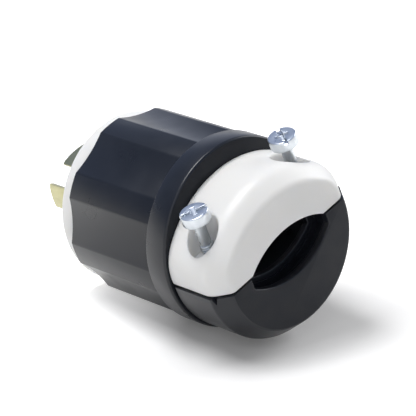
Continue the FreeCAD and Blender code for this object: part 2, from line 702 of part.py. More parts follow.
def check_and_write():
    """Stop at any object that failed, then write each sub-part to its own file."""
    doc.recompute()
    for item in doc.Objects:
        if "Invalid" in item.State or "Error" in item.State:
            raise RuntimeError("%s failed: %s" % (item.Label, item.State))
    os.makedirs("parts", exist_ok=True)
    for body in sub_parts:
        if body.Shape.isNull() or not body.Shape.isValid() or len(body.Shape.Solids) != 1:
            raise RuntimeError("%s is not one valid solid" % body.Label)
        body.Shape.exportStep(os.path.join("parts", body.Label + ".step"))
        box = body.Shape.BoundBox
        print("%-26s %9.1f mm3  %6.1f %6.1f %6.1f" % (body.Label, body.Shape.Volume, box.XMin, box.YMin, box.ZMin))


fill_sheet()
make_housing()
make_clamp_jaw()
make_clamp_screws()
make_clamp_nuts()
make_front_face()
make_terminal_carrier()
for kind, key, angle, span, reach, side in BLADES:
    make_blade(kind, key, angle, span, reach, side)
    make_terminal(kind, key, angle)
make_assembly_screws()
check_and_write()
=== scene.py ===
"""A locking power plug: fluted black grip, white cord clamp jaw, zinc-plated screws and curved blades."""
import json
import math

import bpy
from mathutils import Matrix, Vector

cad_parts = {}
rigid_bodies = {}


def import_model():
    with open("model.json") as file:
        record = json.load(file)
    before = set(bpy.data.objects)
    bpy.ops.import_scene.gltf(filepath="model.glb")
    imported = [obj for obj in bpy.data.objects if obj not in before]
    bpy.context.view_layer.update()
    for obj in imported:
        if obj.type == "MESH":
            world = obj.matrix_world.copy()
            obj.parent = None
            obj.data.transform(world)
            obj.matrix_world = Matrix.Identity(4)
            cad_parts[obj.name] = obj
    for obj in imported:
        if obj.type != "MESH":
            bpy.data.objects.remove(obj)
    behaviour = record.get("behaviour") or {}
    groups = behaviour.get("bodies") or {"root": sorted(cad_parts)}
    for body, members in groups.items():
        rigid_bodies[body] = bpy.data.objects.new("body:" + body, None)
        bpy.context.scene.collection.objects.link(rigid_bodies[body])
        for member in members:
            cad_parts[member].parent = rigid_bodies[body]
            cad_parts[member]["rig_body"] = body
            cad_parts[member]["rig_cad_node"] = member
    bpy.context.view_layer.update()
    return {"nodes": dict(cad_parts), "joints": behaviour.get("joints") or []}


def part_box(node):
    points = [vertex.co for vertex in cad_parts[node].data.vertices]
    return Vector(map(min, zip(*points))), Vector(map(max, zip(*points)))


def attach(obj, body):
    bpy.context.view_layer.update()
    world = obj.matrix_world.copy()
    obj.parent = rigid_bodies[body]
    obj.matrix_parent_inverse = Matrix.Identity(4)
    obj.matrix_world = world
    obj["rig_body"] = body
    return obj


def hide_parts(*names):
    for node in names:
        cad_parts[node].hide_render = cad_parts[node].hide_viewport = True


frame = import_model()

bl_info = {
    "name": "Locking Power Plug",
    "version": (1, 0, 0),
    "blender": (4, 5, 0),
    "location": "View3D > Sidebar > Plug",
    "description": "Models a locking power plug around its packed solids",
    "category": "Mesh",
}

# Pieces are modelled upright and in millimetres: X across the clamp, Y out of the jaw, Z along the plug
# towards the cord, zero at the rear face of the collar. lay_down() then brings them into the frame.

MM = 0.001
# How many straight steps stand for a full turn of large pieces, small ones, holes and flute cutters.
ROUND_STEPS = 192
FINE_STEPS = 96
HOLE_STEPS = 64
FLUTE_STEPS = 240
# How many steps stand for the jaw's crown and for a rounded edge of an opening.
CROWN_STEPS = 40
RIM_STEPS = 4
FLUTES = 8
# How far cutters reach past what they cut, and how deep one part of a moulding starts inside the next.
BEYOND = 1
SUNK = 0.3
# Corners nearer than MERGE become one. A place within TOUCH of a plane counts as on it.
MERGE = 0.0005
TOUCH = 0.002
# An edge's middle lies this share of the rounding inside its corner.
ARC_MIDDLE = 0.3
# How much of their width the pry notches and the cross recess keep at the bottom.
NOTCH_TAPER = 0.1
CROSS_TAPER = (0.3, 0.6)
# How much of a screw's core is left at its tip, and how much of its pitch a thread takes up.
TIP_SHARE = 0.6
THREAD_SHARE = 0.9
THREAD_STEPS = 28
# How the slots of the two clamp screws are turned, in degrees.
SLOT_TURNS = {"left": -28, "right": 62}
# A face whose normal reaches this far down an axis looks down it. Past FLAT_END a face looks towards the
# cord and gets the black nylon with less sheen, which paints shade on the end faces.
FACING = -0.9
FLAT_END = -0.98
NYLON_IOR = 1.53
BLACK_SHADES = ("black_nylon", "black_nylon_light")

# The camera's place and clipping in metres, its turn in degrees, and its lens and sensor in millimetres.
CAMERA_PLACE = (-0.44667, -0.54202, 0.23691)
CAMERA_CLIP = (0.01, 20)
CAMERA_TURN = (70.966, 1.712, -42.043)
CAMERA_LENS = 212.0
CAMERA_SENSOR = 36.0
SOFTBOX_AIM = (0, -0.035, 0)
# Each softbox has a name, a place and a side in metres, and a power in watts.
SOFTBOXES = (
    ("top_softbox", (-0.11, 0.115, 0.75), 0.22, 2.5),
    ("left_softbox", (-0.3, 0.035, 0.7), 0.25, 2.2),
    ("front_softbox", (-0.6, -0.5, 0.4), 0.6, 1.3),
    ("right_softbox", (0.65, -0.15, 0.35), 0.4, 2.6),
    ("back_card", (0.55, 0.62, 0.3), 0.5, 0.3),
)
FLOOR_SIDE = 6
# The floor's least and greatest glow, and the distances in metres at which they start, measured from a place
# beside the floor's own origin.
FLOOR_GLOW = (0.08, 0.5)
FLOOR_FADE = (0.038, 0.068)
FLOOR_CENTRE = (0.008, -0.03, 0)
# How strongly the room lights the plug, against 1 where the camera or a mirroring face sees it.
ROOM_LIGHT = 0.14
# The heights of a mirrored direction between which the white horizon turns into the bluish room.
HORIZON = (0.0, 0.2)

_, HOUSING_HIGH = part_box("housing")
_, FACE_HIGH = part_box("front_face")
CLAMP_UP = Vector(next(joint for joint in frame["joints"] if joint["name"] == "jaw_lift")["axis"])


def length(name, millimetres, description):
    """Declare a length that is given in millimetres and kept in metres."""
    return bpy.props.FloatProperty(
        name=name, description=description, default=millimetres * MM, unit="LENGTH", precision=5
    )


def tint(name, code, description):
    """Declare a colour that is given as an sRGB hex code."""
    return bpy.props.StringProperty(name=name, description=description, default=code, maxlen=7)


class PlugSizes(bpy.types.PropertyGroup):
    """Lengths of the visible pieces."""

    collar_radius: length("Collar radius", HOUSING_HIGH.x / MM, "Round collar at the rear of the grip")
    collar_length: length("Collar length", 8.0, "Collar along the plug's axis")
    collar_edge: length("Collar edge", 0.8, "Rounding of the collar's rear edge")
    skirt_reach: length("Grip reach", 43.9, "Rear face of the collar to the front edge of the grip")
    ridge_radius: length("Ridge radius", 27.9, "Outside of the grip's ridges")
    flute_radius: length("Flute radius", 26.3, "Bottom of a finger flute, from the axis")
    flute_bow: length("Flute bow", 34.7, "Radius of a finger flute's hollow")
    skirt_bore: length("Grip bore", 24.5, "Inside radius of the grip")
    rear_wall: length("Rear wall", 3.0, "Wall between the wiring space and the clamp")
    clamp_radius: length("Clamp radius", 27.6, "Outside of the lower clamp half")
    clamp_length: length("Clamp length", 21.5, "Cord clamp along the plug's axis")
    clamp_cone: length("Clamp cone", 5.6, "Cone at the clamp's end")
    clamp_end_radius: length("Clamp end radius", 23.6, "End face of the lower clamp half")
    seam_width: length("Seam width", 0.9, "Groove between collar and lower clamp half")
    seam_depth: length("Seam depth", 0.9, "Groove between collar and lower clamp half")
    parting_height: length("Parting height", 1.1, "Top of the lower clamp half above the axis")
    parting_gap: length("Parting gap", 0.6, "Air left between the clamp halves")
    pry_notch: length("Pry notch", 2.0, "Width and depth of the notches beside the parting")
    mouth_half_width: length("Mouth half width", 15.8, "Half width of the cord opening")
    mouth_side_depth: length("Mouth side depth", 3.4, "Straight side of the opening's lower half")
    mouth_lower_bow: length("Mouth lower bow", 23.5, "Radius of the bottom of the opening")
    mouth_upper_bow: length("Mouth upper bow", 25.0, "Radius of the top of the opening")
    mouth_length: length("Mouth length", 6.6, "Wide mouth of the opening")
    throat_half_width: length("Throat half width", 13.4, "Half width of the opening beside the screws")
    throat_upper_bow: length("Throat upper bow", 18.6, "Radius of the opening's top beside the screws")
    lip_length: length("Rib length", 2.6, "Each gripping rib along the plug's axis")
    groove_length: length("Groove length", 3.4, "Groove between the ribs")
    groove_depth: length("Groove depth", 1.8, "Depth of the grooves")
    groove_side: length("Groove side", 0.4, "Depth of the grooves at the opening's sides")
    jaw_half_width: length("Jaw half width", 27.2, "Half width of the jaw at its flanks")
    jaw_crown_height: length("Jaw crown height", 22.4, "Top of the jaw above the axis")
    jaw_crown_bow: length("Jaw crown bow", 33.0, "Radius of the jaw's broad top")
    jaw_shoulder_bow: length("Jaw shoulder bow", 14.0, "Radius of the jaw's shoulders")
    jaw_inset: length("Jaw inset", 4.2, "How far the jaw's end face is drawn in")
    jaw_bend: length("Jaw bend", 6.5, "Rounding where the jaw starts to draw in")
    jaw_brow: length("Jaw brow", 3.2, "Rounding round the jaw's end face")
    jaw_gap: length("Jaw gap", 0.2, "Gap between the jaw and the collar")
    screw_spacing: length("Screw spacing", 36.8, "Distance between the clamp screws")
    screw_place: length("Screw place", 10.6, "Clamp screws behind the collar's rear face")
    screw_seat: length("Screw seat", 21.0, "Underside of the screw heads above the axis")
    pocket_radius: length("Pocket radius", 5.25, "Screw pocket in the jaw")
    pocket_floor: length("Pocket floor", 8.0, "Floor of the screw pockets above the axis")
    hole_radius: length("Hole radius", 2.33, "Screw hole in the jaw and the lower half")
    head_radius: length("Head radius", 4.2, "Head of a clamp screw")
    head_height: length("Head height", 3.5, "Head of a clamp screw")
    head_round: length("Head rounding", 0.4, "Rounding of a head's top edge")
    slot_width: length("Slot width", 1.2, "Slot in a screw head")
    slot_depth: length("Slot depth", 1.0, "Slot in a screw head")
    neck_radius: length("Neck radius", 1.75, "Plain neck of a clamp screw")
    neck_length: length("Neck length", 7.3, "Plain neck of a clamp screw")
    thread_radius: length("Thread radius", 2.08, "Crest of the thread")
    thread_pitch: length("Thread pitch", 0.79, "Distance from one crest to the next")
    screw_length: length("Screw length", 28.6, "Clamp screw below its head")
    edge_round: length("Edge rounding", 0.35, "Rounding that a mould leaves on an edge")
    clamp_bend: length("Clamp bend", 1.5, "Rounding where the lower half draws in")
    clamp_rim: length("Clamp rim", 1.0, "Rounding round the lower half's end face")
    pocket_rim: length("Pocket rim", 0.6, "Rounding round a screw pocket's mouth")
    pry_notch_reach: length("Pry notch reach", 1.6, "How far the notches go in")
    nut_trap: length("Nut trap", 8.2, "Width of the square nuts' traps")
    nut_trap_depth: length("Nut trap depth", 3.7, "Depth of the square nuts' traps")
    face_edge: length("Face edge", 0.25, "Rounding of the front face's edges")
    blade_edge: length("Blade edge", 0.2, "Rounding of the blades and their carrier")
    plate_edge: length("Plate edge", 0.15, "Rounding of plates, nuts and assembly screws")
    terminal_edge: length("Terminal edge", 0.12, "Rounding of the terminal screws' edges")
    cross_reach: length("Cross reach", 2.4, "Half length of the cross recess")
    cross_width: length("Cross width", 1.5, "Width of the cross recess at the top")
    cross_depth: length("Cross depth", 2.2, "Depth of the cross recess")
    head_under: length("Head underside", 0.6, "Rounding of a head's lower edge")
    neck_fillet: length("Neck fillet", 0.3, "Fillets at both ends of the neck")
    screw_tip: length("Screw tip", 0.8, "Tapered tip of a clamp screw")
    screw_edge: length("Screw edge", 0.08, "Rounding of a clamp screw's edges")
    thread_depth: length("Thread depth", 0.45, "Crest to root of the thread")
    thread_root: length("Thread root", 0.1, "How deep the thread's ridge starts in the core")
    thread_start: length("Thread start", 0.5, "Distance from a screw's end to its thread")
    thread_runout: length("Thread runout", 0.1, "How far the thread runs into the neck")


class PlugColours(bpy.types.PropertyGroup):
    """Colours of the finishes, as sRGB hex codes."""

    black_nylon: tint("Black nylon", "#15171c", "Grip, collar and lower clamp half")
    black_nylon_light: tint("Black nylon, light", "#1a1d24", "Drift of the black nylon")
    white_nylon: tint("White nylon", "#efefef", "Jaw and front face")
    white_nylon_shade: tint("White nylon, shade", "#ebebea", "Drift of the white nylon")
    zinc: tint("Zinc plate", "#d6dade", "Screws")
    zinc_dull: tint("Zinc plate, dull", "#c3c9ce", "Clouds in the zinc plate")
    blade: tint("Blade metal", "#c6c19a", "Nickel-washed brass of the blades")
    blade_dull: tint("Blade metal, dull", "#a8a57f", "Rubbed stretches of the blades")
    brass: tint("Bright brass", "#c9a65c", "Terminal screws")
    thermoset: tint("Thermoset", "#dcdad2", "Terminal carrier")
    floor: tint("Floor", "#f5f5f6", "Plain pale floor")
    room: tint("Room", "#8595b8", "Upper part of the room that glossy faces mirror")


def size(name):
    """Give one of the plug's lengths in millimetres."""
    return getattr(bpy.context.scene.plug_sizes, name) / MM


def linear(code):
    """Turn an sRGB hex code into the linear colour that a shader takes."""
    parts = [int(code[place:place + 2], 16) / 255 for place in (1, 3, 5)]
    return (*[part / 12.92 if part <= 0.04045 else ((part + 0.055) / 1.055) ** 2.4 for part in parts], 1.0)


def colour(name):
    """Give one of the plug's colours as a linear colour."""
    return linear(getattr(bpy.context.scene.plug_colours, name))


def feed(tree, node, links):
    """Link sockets into a node's inputs."""
    for key, socket in links.items():
        tree.links.new(socket, node.inputs[key])


def add_node(tree, kind, values=None, links=None, **settings):
    """Add a node with its settings, the values of its sockets and the links into them."""
    node = tree.nodes.new(kind)
    for key, value in settings.items():
        setattr(node, key, value)
    for key, value in (values or {}).items():
        node.inputs[key].default_value = value
    feed(tree, node, links or {})
    return node


def new_material(name):
    """Start a material and give it with its tree, its shader and its Object coordinates."""
    material = bpy.data.materials.new(name)
    material.use_nodes = True
    tree = material.node_tree
    place = add_node(tree, "ShaderNodeTexCoord").outputs["Object"]
    return material, tree, tree.nodes["Principled BSDF"], place


def finish(mixer):
    """Give a finish, which its mixer makes the first time that it is asked for."""
    return bpy.data.materials.get(mixer.__name__) or mixer(mixer.__name__)


def clouded(name, shades, spacing, gloss, grain, depth, detail=2.0):
    """Mix a finish whose shade and gloss drift over the piece, with a fine grain. Lengths are in mm."""
    material, tree, shader, place = new_material(name)
    drift = add_node(tree, "ShaderNodeTexNoise", noise(spacing, detail), {"Vector": place}).outputs["Fac"]
    marks = add_node(tree, "ShaderNodeTexNoise", noise(grain), {"Vector": place}).outputs["Fac"]
    both = {6: colour(shades[0]), 7: colour(shades[1])}
    shade = add_node(tree, "ShaderNodeMix", both, {0: drift}, data_type="RGBA")
    sheen = add_node(tree, "ShaderNodeMapRange", gloss_range(*gloss), {"Value": drift})
    relief = add_node(tree, "ShaderNodeBump", {"Distance": depth * MM}, {"Height": marks})
    coat(tree, shader, relief, sheen, shade)
    return material, shader


def noise(spacing, detail=3.0):
    """Give the values of a noise whose marks are some millimetres apart."""
    return {"Scale": 1 / (spacing * MM), "Detail": detail}


def gloss_range(low, high):
    """Give the values that spread a noise's middle over a range of roughness."""
    return {"From Min": 0.3, "From Max": 0.7, "To Min": low, "To Max": high}


def coat(tree, shader, relief, sheen=None, shade=None):
    """Link a finish's relief, and its gloss and shade where they vary, into its shader."""
    feed(tree, shader, {"Normal": relief.outputs["Normal"]})
    if sheen:
        feed(tree, shader, {"Roughness": sheen.outputs["Result"]})
    if shade:
        feed(tree, shader, {"Base Color": shade.outputs[2]})


def polished_black_nylon(name):
    """Black nylon from a polished mould: a satin skin with a bluish sheen and a faint, fine grain."""
    material, shader = clouded(name, BLACK_SHADES, spacing=9.0, gloss=(0.27, 0.35), grain=0.35, depth=0.006)
    shader.inputs["IOR"].default_value = NYLON_IOR
    shader.inputs["Specular IOR Level"].default_value = 0.38
    return material


def spark_eroded_black_nylon(name):
    """Painted shade: the black nylon with less sheen and more roughness, which darkens the flat ends that
    look towards the cord.
    """
    material, shader = clouded(
        name, BLACK_SHADES, spacing=5.0, gloss=(0.38, 0.55), grain=0.3, depth=0.02, detail=4.0
    )
    shader.inputs["IOR"].default_value = NYLON_IOR
    shader.inputs["Specular IOR Level"].default_value = 0.2
    return material


def moulded_white_nylon(name):
    """Injection-moulded natural nylon: milky, so light soaks in a little and fills the pockets."""
    shades = ("white_nylon", "white_nylon_shade")
    material, shader = clouded(name, shades, spacing=12.0, gloss=(0.34, 0.44), grain=0.4, depth=0.008)
    shader.inputs["IOR"].default_value = NYLON_IOR
    shader.inputs["Subsurface Weight"].default_value = 0.9
    shader.inputs["Subsurface Radius"].default_value = (1.0, 0.97, 0.92)
    shader.inputs["Subsurface Scale"].default_value = 3.0 * MM
    return material


def bright_zinc_plate(name):
    """Bright zinc plate on steel: pale and bluish, a little cloudy, with fine marks from the plating."""
    shades = ("zinc", "zinc_dull")
    material, shader = clouded(name, shades, spacing=2.2, gloss=(0.26, 0.36), grain=0.25, depth=0.004)
    shader.inputs["Metallic"].default_value = 1.0
    return material


def nickel_washed_brass(name):
    """Stamped brass with a nickel wash: pale straw, with rolling lines along the blade and rubbed places."""
    material, tree, shader, place = new_material(name)
    along = add_node(tree, "ShaderNodeMapping", {"Scale": (1.0, 0.05, 1.0)}, {"Vector": place})
    lines = add_node(tree, "ShaderNodeTexNoise", noise(0.16), {"Vector": along.outputs[0]}).outputs["Fac"]
    rubbed = add_node(tree, "ShaderNodeTexNoise", noise(3.0), {"Vector": place}).outputs["Fac"]
    both = {6: colour("blade"), 7: colour("blade_dull")}
    shade = add_node(tree, "ShaderNodeMix", both, {0: rubbed}, data_type="RGBA")
    sheen = add_node(tree, "ShaderNodeMapRange", gloss_range(0.28, 0.46), {"Value": lines})
    relief = add_node(tree, "ShaderNodeBump", {"Distance": 0.01 * MM}, {"Height": lines})
    shader.inputs["Metallic"].default_value = 1.0
    coat(tree, shader, relief, sheen, shade)
    return material


def turned_brass(name):
    """Turned brass of the terminal screws: warm and smooth, with fine turning marks."""
    material, tree, shader, place = new_material(name)
    marks = add_node(tree, "ShaderNodeTexNoise", noise(0.3), {"Vector": place}).outputs["Fac"]
    sheen = add_node(tree, "ShaderNodeMapRange", gloss_range(0.2, 0.34), {"Value": marks})
    relief = add_node(tree, "ShaderNodeBump", {"Distance": 0.008 * MM}, {"Height": marks})
    shader.inputs["Base Color"].default_value = colour("brass")
    shader.inputs["Metallic"].default_value = 1.0
    coat(tree, shader, relief, sheen)
    return material


def filled_thermoset(name):
    """Compression-moulded thermoset: off-white and matt, with a faint speckle of filler."""
    material, tree, shader, place = new_material(name)
    speckle = add_node(tree, "ShaderNodeTexNoise", noise(0.5, 5.0), {"Vector": place}).outputs["Fac"]
    both = {6: colour("thermoset"), 7: colour("white_nylon_shade")}
    shade = add_node(tree, "ShaderNodeMix", both, {0: speckle}, data_type="RGBA")
    relief = add_node(tree, "ShaderNodeBump", {"Distance": 0.01 * MM}, {"Height": speckle})
    shader.inputs["Roughness"].default_value = 0.5
    coat(tree, shader, relief, shade=shade)
    return material


def deselect():
    """Leave edit mode and select nothing."""
    if bpy.context.object and bpy.context.object.mode != "OBJECT":
        bpy.ops.object.mode_set(mode="OBJECT")
    bpy.ops.object.select_all(action="DESELECT")


def pick(piece):
    """Make one object the only selected and active one."""
    deselect()
    piece.hide_set(False)
    piece.select_set(True)
    bpy.context.view_layer.objects.active = piece


def edit_all(piece):
    """Open a piece in edit mode with all of it selected."""
    pick(piece)
    bpy.ops.object.mode_set(mode="EDIT")
    bpy.ops.mesh.select_all(action="SELECT")


def smooth(piece, sharper_than=30):
    """Shade a piece smooth, apart from edges that are sharper than an angle in degrees."""
    pick(piece)
    bpy.ops.object.shade_smooth_by_angle(angle=math.radians(sharper_than))


def join(first, *others):
    """Make one object of several."""
    deselect()
    for piece in (first, *others):
        piece.select_set(True)
    bpy.context.view_layer.objects.active = first
    bpy.ops.object.join()
    return first


def turned(name, rings, steps=ROUND_STEPS):
    """Turn a closed solid about Z: a disc is extruded from ring to ring, each (radius, height)."""
    deselect()
    radius, height = rings[0]
    place = (0, 0, height)
    bpy.ops.mesh.primitive_circle_add(vertices=steps, radius=radius, fill_type="NGON", location=place)
    piece = bpy.context.object
    piece.name = name
    bpy.ops.object.transform_apply(location=True, rotation=True, scale=True)
    bpy.ops.object.mode_set(mode="EDIT")
    bpy.ops.mesh.select_mode(type="FACE")
    bpy.ops.mesh.select_all(action="SELECT")
    for next_radius, next_height in rings[1:]:
        step = (0, 0, next_height - height)
        bpy.ops.mesh.extrude_region_move(TRANSFORM_OT_translate={"value": step})
        scale = next_radius / radius
        bpy.ops.transform.resize(value=(scale, scale, 1), center_override=(0, 0, next_height))
        radius, height = next_radius, next_height
    close_shell()
    return piece


def clear_selection(piece, kind):
    """Deselect all of a piece, before faces or edges of it are selected in code."""
    pick(piece)
    bpy.ops.object.mode_set(mode="EDIT")
    bpy.ops.mesh.select_mode(type=kind)
    bpy.ops.mesh.select_all(action="DESELECT")
    bpy.ops.object.mode_set(mode="OBJECT")


def select_faces(piece, chosen):
    """Select only the faces of a piece that a test picks."""
    clear_selection(piece, "FACE")
    for face in piece.data.polygons:
        face.select = chosen(face)


def close_shell(near=MERGE):
    """Merge doubles, point the faces outwards and leave edit mode."""
    bpy.ops.mesh.select_all(action="SELECT")
    bpy.ops.mesh.remove_doubles(threshold=near)
    bpy.ops.mesh.normals_make_consistent(inside=False)
    bpy.ops.object.mode_set(mode="OBJECT")


def grown(name, outline, rings):
    """Extrude an outline from ring to ring. Each ring gives the outline's values and its height."""
    deselect()
    values, height = rings[0]
    points = outline(*values)
    bpy.ops.mesh.primitive_circle_add(vertices=len(points), radius=1, fill_type="NGON", location=(0, 0, 0))
    piece = bpy.context.object
    piece.name = name
    for vertex, (x, y) in zip(piece.data.vertices, points):
        vertex.co = (x, y, height)
    bpy.ops.object.mode_set(mode="EDIT")
    bpy.ops.mesh.select_mode(type="FACE")
    bpy.ops.mesh.select_all(action="SELECT")
    for values, height in rings[1:]:
        bpy.ops.mesh.extrude_region_move(TRANSFORM_OT_translate={"value": (0, 0, 0)})
        bpy.ops.object.mode_set(mode="OBJECT")
        next_points = outline(*values)
        move_ring(piece, points, next_points, height)
        points = next_points
        bpy.ops.object.mode_set(mode="EDIT")
    close_shell()
    return piece


def move_ring(piece, points, next_points, height):
    """Move the corners of the selected face from one outline to the next, at a height."""
    face = next(face for face in piece.data.polygons if face.select)
    for index in face.vertices:
        vertex = piece.data.vertices[index]
        gaps = [(vertex.co.x - x) ** 2 + (vertex.co.y - y) ** 2 for x, y in points]
        x, y = next_points[gaps.index(min(gaps))]
        vertex.co = (x, y, height)


def prism(name, points, low, high):
    """Extrude a closed outline of (x, y) points from one height to another."""
    return grown(name, lambda: points, [((), low), ((), high)])


def softened(corners, steps=6):
    """Give the points between a profile's two ends, with its corners (across, along, rounding) rounded."""
    points = []
    for before, corner, after in zip(corners, corners[1:], corners[2:]):
        middle = Vector(corner[:2])
        rounding = corner[2]
        if not rounding:
            points.append(tuple(middle))
            continue
        back = (Vector(before[:2]) - middle).normalized()
        onward = (Vector(after[:2]) - middle).normalized()
        half = back.angle(onward) / 2
        centre = middle + (back + onward).normalized() * (rounding / math.sin(half))
        first = middle + back * (rounding / math.tan(half)) - centre
        last = middle + onward * (rounding / math.tan(half)) - centre
        points += [tuple(centre + first.slerp(last, step / steps) * rounding) for step in range(steps + 1)]
    return points


def block(name, low, high):
    """Make a box between two corners."""
    corners = [(low[0], low[1]), (high[0], low[1]), (high[0], high[1]), (low[0], high[1])]
    return prism(name, corners, low[2], high[2])


def apply_modifier(piece, kind, **settings):
    """Give a piece a modifier with its settings and apply it."""
    pick(piece)
    modifier = piece.modifiers.new(kind.lower(), kind)
    for key, value in settings.items():
        setattr(modifier, key, value)
    bpy.ops.object.modifier_apply(modifier=modifier.name)


def cut(piece, cutter):
    """Cut a solid out of a piece and delete it."""
    apply_modifier(piece, "BOOLEAN", operation="DIFFERENCE", object=cutter, solver="EXACT")
    pick(cutter)
    bpy.ops.object.delete()


def taper(piece, axis, keep):
    """Draw the face of a block that looks down an axis in towards its own middle."""
    select_faces(piece, lambda face: face.normal[axis] < FACING)
    middle = next(face.center.copy() for face in piece.data.polygons if face.select)
    bpy.ops.object.mode_set(mode="EDIT")
    bpy.ops.transform.resize(value=keep, center_override=middle)
    bpy.ops.object.mode_set(mode="OBJECT")


def round_edges(piece, width, segments=2, sharper_than=30):
    """Round every edge that is sharper than an angle in degrees, then shade the piece smooth."""
    edit_all(piece)
    bpy.ops.mesh.remove_doubles(threshold=TOUCH)
    bpy.ops.object.mode_set(mode="OBJECT")
    apply_modifier(
        piece, "BEVEL", width=width, segments=segments, limit_method="ANGLE",
        angle_limit=math.radians(sharper_than), use_clamp_overlap=False
    )
    smooth(piece, sharper_than)


def lay_down(piece):
    """Bring a piece from the upright millimetre model into the frame, with its place in its mesh."""
    up = CLAMP_UP.normalized()
    back = Vector((0, -1, 0))
    across = up.cross(back)
    turn = Matrix((across, up, back)).transposed().to_4x4()
    front = Matrix.Translation((0, -(size("skirt_reach") * MM + FACE_HIGH.y - HOUSING_HIGH.y), 0))
    piece.data.transform(front @ turn @ Matrix.Scale(MM, 4))
    piece.data.update()


def dress(piece, mixer, body, node):
    """Give a finished piece its material and body, and hide the imported node that it takes the place of."""
    piece.data.materials.clear()
    piece.data.materials.append(finish(mixer))
    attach(piece, body)
    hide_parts(node)
    deselect()


def arc_points(first, last, bow, steps=24):
    """Give points on an arc of radius bow that runs left round from one point to just before the next."""
    first, last = Vector(first), Vector(last)
    half = (last - first) / 2
    left = Vector((-half.y, half.x)).normalized()
    centre = first + half + left * math.sqrt(bow * bow - half.length_squared)
    start = math.atan2(first.y - centre.y, first.x - centre.x)
    turn = 2 * math.asin(half.length / bow)
    angles = [start + turn * step / steps for step in range(steps)]
    return [(centre.x + bow * math.cos(angle), centre.y + bow * math.sin(angle)) for angle in angles]


def opening_points(half_width, upper_bow, flare=0.0, deeper=0.0):
    """Give the cord opening's outline: an arch above the parting plane and a bowed trough below it."""
    lower_bow = size("mouth_lower_bow")
    arch_middle = size("parting_height") + deeper - math.sqrt(upper_bow ** 2 - half_width ** 2)
    bowl_rim = size("parting_height") - size("mouth_side_depth") - deeper
    bowl_middle = bowl_rim + math.sqrt(lower_bow ** 2 - half_width ** 2)
    side = half_width + flare
    top = arch_middle + math.sqrt((upper_bow + flare) ** 2 - side ** 2)
    low = bowl_middle - math.sqrt((lower_bow + flare) ** 2 - side ** 2)
    arch = arc_points((side, top), (-side, top), upper_bow + flare)
    bowl = arc_points((-side, low), (side, low), lower_bow + flare)
    return arch + [(-side, top)] + bowl + [(side, low)]


def rim_rings(shape, edge, way):
    """Give the rings of an opening's rounded edge, which widens along the plug or against it."""
    round_over = size("edge_round")
    rings = []
    for step in range(RIM_STEPS + 1):
        turn = math.pi / 2 * step / RIM_STEPS
        flare = round_over * (1 - math.cos(turn))
        rings.append(((*shape, flare), edge - way * round_over * (1 - math.sin(turn))))
    return rings[::way]


def cut_opening(piece):
    """Cut the cord opening: a throat and a wider mouth, with grooves that leave gripping ribs standing."""
    end = size("clamp_length")
    lip = size("lip_length")
    deeper = size("groove_depth")
    wider = size("groove_side")
    outer_groove = end - lip - size("groove_length")
    inner_end = outer_groove - lip
    step = end - size("mouth_length")
    throat = (size("throat_half_width"), size("throat_upper_bow"))
    mouth = (size("mouth_half_width"), size("mouth_upper_bow"))
    rings = [(throat, -size("rear_wall") - BEYOND)]
    rings += rim_rings(throat, lip, 1)
    rings += [((*throat, wider, deeper), lip), ((*throat, wider, deeper), inner_end)]
    rings += rim_rings(throat, inner_end, -1)
    rings += rim_rings(throat, step, 1)
    rings += [(mouth, step), (mouth, outer_groove)]
    rings += [((*mouth, wider, deeper), outer_groove), ((*mouth, wider, deeper), end - lip)]
    rings += rim_rings(mouth, end - lip, -1)
    rings += rim_rings(mouth, end, 1)
    rings.append(((*mouth, size("edge_round")), end + BEYOND))
    cut(piece, grown("opening", opening_points, rings))


def cut_screw_holes(piece):
    """Cut the two screw holes that both clamp halves share."""
    for side in (-1, 1):
        deselect()
        bpy.ops.mesh.primitive_cylinder_add(
            vertices=HOLE_STEPS, radius=size("hole_radius"), depth=3 * size("collar_radius"),
            location=(side * size("screw_spacing") / 2, 0, size("screw_place")), rotation=(math.pi / 2, 0, 0)
        )
        bpy.ops.object.transform_apply(location=True, rotation=True, scale=True)
        cut(piece, bpy.context.object)


def rounded_corner(radius, height, rounding, steps=5):
    """Give ring points that round a turned piece's outer top corner."""
    turns = [math.pi / 2 * step / steps for step in range(steps + 1)]
    offsets = [(rounding * (1 - math.cos(turn)), rounding * (1 - math.sin(turn))) for turn in turns]
    return [(radius - inset, height - drop) for inset, drop in offsets]


def build_grip():
    """Model the fluted grip: one flute cutter is copied round a plain tube."""
    ridge = size("ridge_radius")
    bow = size("flute_bow")
    front = -size("skirt_reach")
    rear = SUNK - size("collar_length")
    bore = size("skirt_bore")
    grip = turned("grip", [(ridge, front), (ridge, rear)])
    cut(grip, turned("bore", [(bore, front - BEYOND), (bore, rear + BEYOND)]))
    flute = turned("flute", [(bow, front - BEYOND), (bow, rear + BEYOND)], steps=FLUTE_STEPS)
    flute.data.transform(Matrix.Translation((size("flute_radius") + bow, 0, 0)))
    flute.data.transform(Matrix.Rotation(math.pi / FLUTES, 4, "Z"))
    for count in range(FLUTES):
        pick(flute)
        bpy.ops.object.duplicate()
        cutter = bpy.context.object
        cutter.data.transform(Matrix.Rotation(math.tau * count / FLUTES, 4, "Z"))
        cut(grip, cutter)
    pick(flute)
    bpy.ops.object.delete()
    round_edges(grip, size("edge_round"), segments=3, sharper_than=16)
    return grip


def build_collar():
    """Model the smooth collar and the wall behind the wiring space."""
    collar = size("collar_radius")
    front = -size("collar_length")
    edge = size("edge_round")
    middle = edge * ARC_MIDDLE
    bore = size("skirt_bore")
    rings = [(collar - edge, front), (collar - middle, front + middle), (collar, front + edge)]
    rings += rounded_corner(collar, 0, size("collar_edge"))
    piece = turned("collar", rings)
    cut(piece, turned("bore", [(bore, front - BEYOND), (bore, -size("rear_wall"))]))
    throat = opening_points(size("throat_half_width"), size("throat_upper_bow"))
    cut(piece, prism("throat", throat, front, BEYOND))
    smooth(piece)
    return piece


